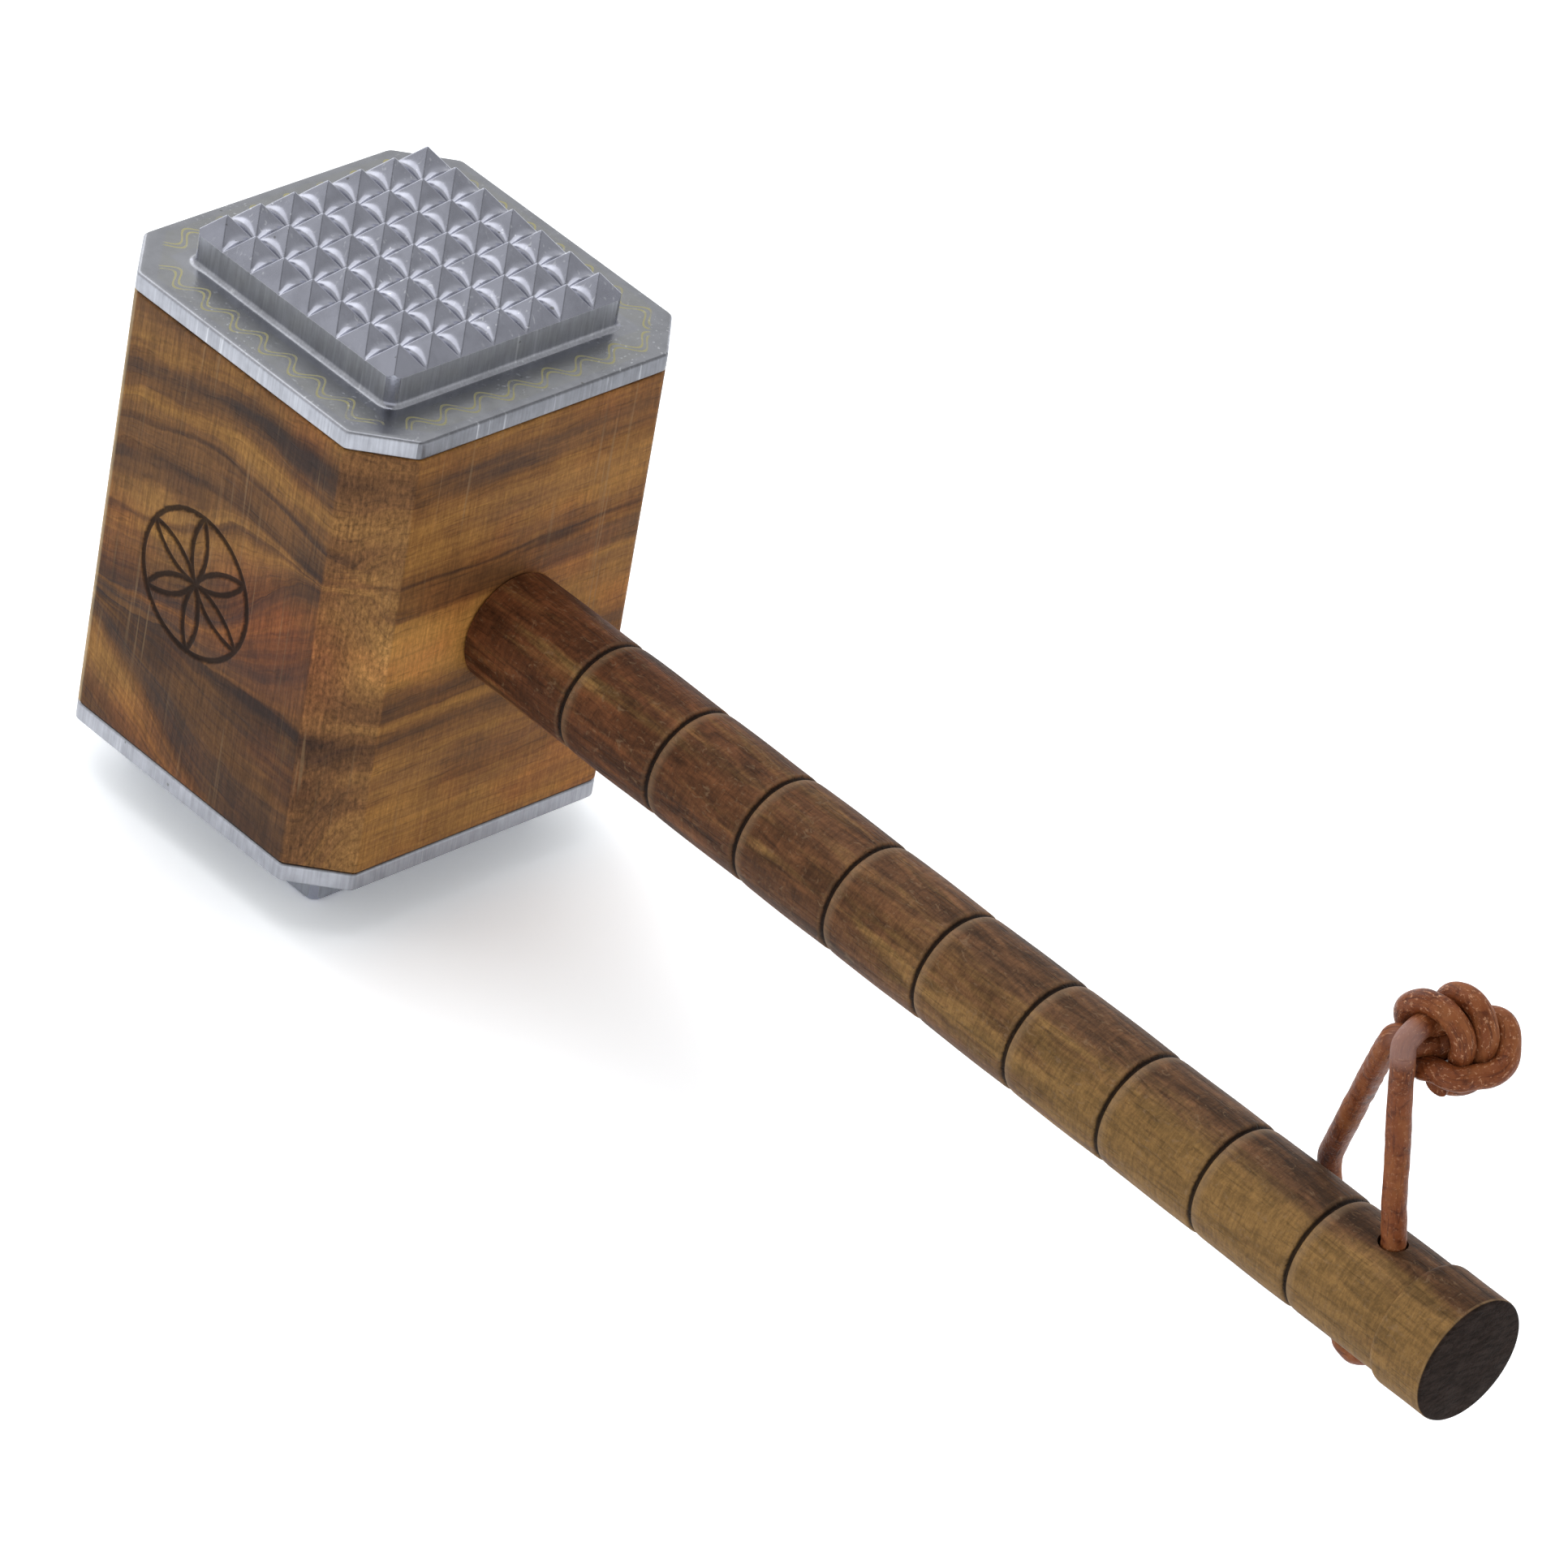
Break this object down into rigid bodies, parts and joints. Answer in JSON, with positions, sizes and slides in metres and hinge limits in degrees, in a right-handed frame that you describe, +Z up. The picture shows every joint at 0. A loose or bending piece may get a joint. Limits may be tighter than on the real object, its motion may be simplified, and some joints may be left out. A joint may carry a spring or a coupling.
{
  "type": "meat tenderizer",
  "caption": "Square block-headed kitchen mallet: wooden head with a toothed and a smooth aluminium face, turned wooden handle and a leather hanging thong.",
  "frame": {"origin": "middle of the smooth striking face, which the mallet stands on", "axes": "+X along the handle towards its free end, +Z up through the head towards the toothed face"},
  "size_m": [0.259, 0.062, 0.0952],
  "materials": {
    "head_wood": "oiled dark hardwood with streaky figure",
    "handle_wood": "turned dark hardwood with burnt grooves",
    "striking_plates": "cast, fine brushed",
    "dowel_wood": "plain beech",
    "thong_leather": "round leather lace"
  },
  "bodies": {
    "root": {"head_block": "head_wood", "toothed_plate": "striking_plates", "smooth_plate": "striking_plates", "toothed_plate_pin_1": "dowel_wood", "toothed_plate_pin_2": "dowel_wood", "smooth_plate_pin_1": "dowel_wood", "smooth_plate_pin_2": "dowel_wood", "handle": "handle_wood", "thong_front_leg": "thong_leather", "thong_back_leg": "thong_leather", "thong_knot": "thong_leather"}
  },
  "joints": []
}
